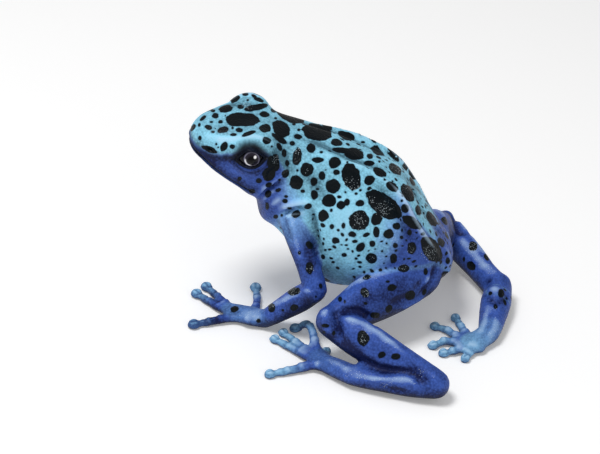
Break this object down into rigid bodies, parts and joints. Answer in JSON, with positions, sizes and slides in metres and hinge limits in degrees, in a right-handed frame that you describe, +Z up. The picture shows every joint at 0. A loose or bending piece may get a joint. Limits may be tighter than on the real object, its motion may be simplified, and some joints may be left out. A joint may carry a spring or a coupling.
{
  "type": "poison dart frog figure",
  "caption": "Life-size still figure of a blue poison dart frog with black spots, sitting alert with its head raised, knees folded out and toes spread on the floor.",
  "frame": {"origin": "on the floor under the middle of the frog's bounding box", "axes": "+Z up from the floor; the frog faces -X; its left side is towards -Y"},
  "size_m": [0.0466, 0.0422, 0.031],
  "materials": {
    "skin_back": "moist, finely granular light blue skin with black spots",
    "skin_limb": "moist, finely granular deep blue skin with black spots",
    "skin_digit": "moist, smooth mid-blue skin",
    "eye": "wet and glossy, near black"
  },
  "bodies": {
    "root": {"head": "skin_back", "torso": "skin_back", "eye_left": "eye", "eye_right": "eye", "upper_arm_left": "skin_limb", "forearm_left": "skin_limb", "hand_left": "skin_limb", "thigh_left": "skin_limb", "shank_left": "skin_limb", "tarsus_left": "skin_limb", "foot_left": "skin_limb", "finger_left_1": "skin_digit", "finger_left_2": "skin_digit", "finger_left_3": "skin_digit", "finger_left_4": "skin_digit", "toe_left_1": "skin_digit", "toe_left_2": "skin_digit", "toe_left_3": "skin_digit", "toe_left_4": "skin_digit", "toe_left_5": "skin_digit", "upper_arm_right": "skin_limb", "forearm_right": "skin_limb", "hand_right": "skin_limb", "thigh_right": "skin_limb", "shank_right": "skin_limb", "tarsus_right": "skin_limb", "foot_right": "skin_limb", "finger_right_1": "skin_digit", "finger_right_2": "skin_digit", "finger_right_3": "skin_digit", "finger_right_4": "skin_digit", "toe_right_1": "skin_digit", "toe_right_2": "skin_digit", "toe_right_3": "skin_digit", "toe_right_4": "skin_digit", "toe_right_5": "skin_digit"}
  },
  "joints": []
}
